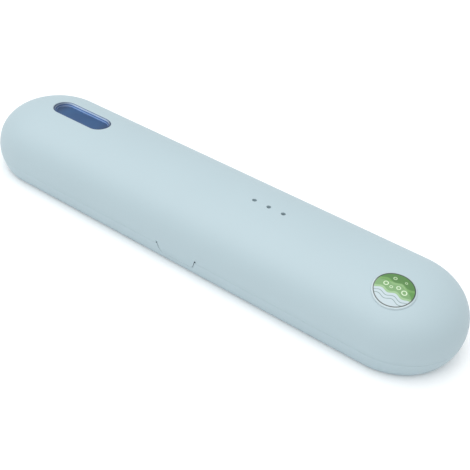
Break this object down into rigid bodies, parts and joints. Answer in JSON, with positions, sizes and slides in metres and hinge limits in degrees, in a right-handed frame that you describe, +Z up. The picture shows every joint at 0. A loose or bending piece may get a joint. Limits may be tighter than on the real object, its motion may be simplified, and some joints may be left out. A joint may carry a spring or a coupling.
{
  "type": "uv toothbrush sterilizer case",
  "caption": "Pale blue travel case that lights a toothbrush with UV lamps: a long domed lid with a tinted window and vents, hinged on a shallow base with a charging port and a power button.",
  "frame": {"origin": "centre of the flat underside of the base", "axes": "+X from the brush head end, which has the window, to the handle end; +Y from the clasp at the front to the hinge at the back; +Z up"},
  "size_m": [0.22, 0.055, 0.0288],
  "materials": {
    "pale_blue_abs": "satin moulded ABS, pale blue",
    "white_abs": "smooth moulded ABS, white",
    "blue_lens": "polished tinted acrylic",
    "clear_plastic": "clear polished acrylic",
    "sticker_resin": "printed label under clear domed resin",
    "silicone": "matt moulded silicone",
    "circuit_board": "green solder mask",
    "lamp_board_white": "white solder mask on aluminium",
    "lamp_ceramic": "fired ceramic lamp package",
    "black_plastic": "moulded epoxy, black",
    "cream_nylon": "moulded nylon, cream",
    "battery_foil": "pouch of laminated foil",
    "foam_tape": "double-sided foam tape",
    "red_lead": "extruded PVC insulation, red",
    "black_lead": "extruded PVC insulation, black",
    "steel": "bright zinc-plated steel",
    "nickel": "nickel-plated magnet"
  },
  "bodies": {
    "base": {"base_shell": "pale_blue_abs", "inner_tray": "white_abs", "uv_lens": "clear_plastic", "light_pipe": "clear_plastic", "status_led": "clear_plastic", "neck_rest": "silicone", "handle_rest": "silicone", "main_board": "circuit_board", "uv_lamp_board": "lamp_board_white", "uv_lamp_1": "lamp_ceramic", "uv_lamp_2": "lamp_ceramic", "uv_lamp_3": "lamp_ceramic", "tact_switch": "black_plastic", "hall_sensor": "black_plastic", "control_chip": "black_plastic", "battery_socket": "cream_nylon", "battery_plug": "cream_nylon", "battery": "battery_foil", "battery_tape": "foam_tape", "battery_lead_red": "red_lead", "lamp_lead_red": "red_lead", "battery_lead_black": "black_lead", "lamp_lead_black": "black_lead", "hinge_pin_left": "steel", "hinge_pin_right": "steel", "tray_screw_head_end": "steel", "tray_screw_handle_end": "steel", "tray_screw_front": "steel", "tray_screw_back": "steel", "board_screw_left": "steel", "board_screw_right": "steel", "usb_port": "steel"},
    "lid": {"lid_shell": "pale_blue_abs", "window_lens": "blue_lens", "lid_magnet": "nickel", "sticker": "sticker_resin"},
    "button": {"power_button": "pale_blue_abs", "switch_plunger": "cream_nylon"}
  },
  "joints": [
    {"name": "lid_hinge", "type": "hinge", "parent": "base", "child": "lid", "pos_m": [0, 0.027, 0.0082], "axis": [-1, 0, 0], "range_deg": [0, 120]},
    {"name": "button_press", "type": "slide", "parent": "base", "child": "button", "axis": [0, -1, 0], "range_m": [0, 0.0005], "stiffness_N_per_m": 400}
  ]
}
